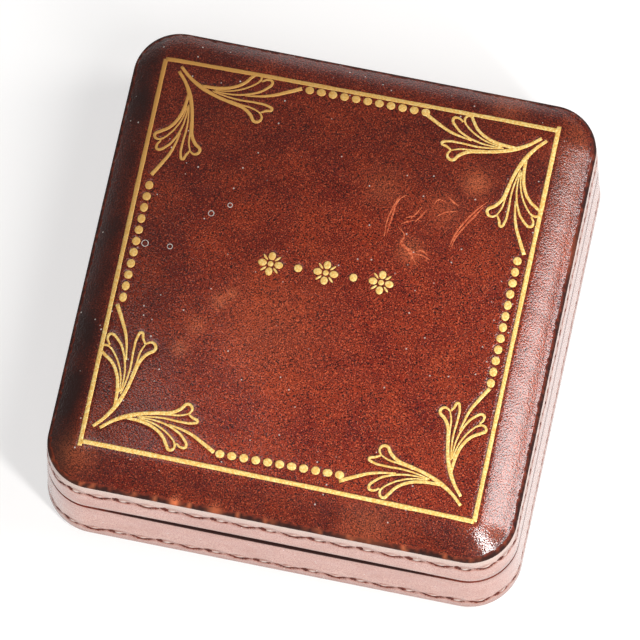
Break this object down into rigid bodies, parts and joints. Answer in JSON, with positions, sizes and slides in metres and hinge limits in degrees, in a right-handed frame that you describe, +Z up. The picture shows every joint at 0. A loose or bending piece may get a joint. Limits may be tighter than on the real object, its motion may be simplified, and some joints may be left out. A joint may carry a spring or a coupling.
{
  "type": "jewellery case",
  "caption": "Flat leather-covered jewellery case with rounded corners, a domed hinged lid with gilt borders, and a lined inside with padded ring rolls and a padded well.",
  "frame": {"origin": "middle of the underside, on the surface that the case stands on", "axes": "+X to the right seen from the front, +Y from the front to the hinges at the back, +Z up"},
  "size_m": [0.1042, 0.1072, 0.0365],
  "materials": {
    "top_calf": "polished oxblood calf with fine grain",
    "side_calf": "polished oxblood calf with blind tooling",
    "cover_paper": "matt brown skiver",
    "poplar": "planed, unfinished",
    "card": "plain millboard",
    "velvet": "short-pile velvet",
    "satin": "silk satin",
    "brass": "polished, slightly tarnished"
  },
  "bodies": {
    "base": {"base_bottom_cover": "cover_paper", "base_board": "poplar", "base_frame": "poplar", "base_side_leather": "side_calf", "base_collar": "card", "base_wall_lining": "velvet", "floor_velvet": "velvet", "divider": "velvet", "well_pad": "velvet", "ring_roll_1": "velvet", "ring_roll_2": "velvet", "ring_roll_3": "velvet", "ring_roll_4": "velvet", "hinge_left_base_leaf": "brass", "hinge_left_pin": "brass", "hinge_left_base_screw_1": "brass", "hinge_left_base_screw_2": "brass", "hinge_right_base_leaf": "brass", "hinge_right_pin": "brass", "hinge_right_base_screw_1": "brass", "hinge_right_base_screw_2": "brass"},
    "lid": {"lid_frame": "poplar", "lid_board": "poplar", "lid_top_leather": "top_calf", "lid_side_leather": "side_calf", "lid_wall_lining": "satin", "lid_pad": "satin", "hinge_left_lid_leaf": "brass", "hinge_left_lid_screw_1": "brass", "hinge_left_lid_screw_2": "brass", "hinge_right_lid_leaf": "brass", "hinge_right_lid_screw_1": "brass", "hinge_right_lid_screw_2": "brass"}
  },
  "joints": [
    {"name": "lid_hinge", "type": "hinge", "parent": "base", "child": "lid", "pos_m": [0, 0.05149, 0.0179], "axis": [-1, 0, 0], "range_deg": [0, 95]}
  ]
}
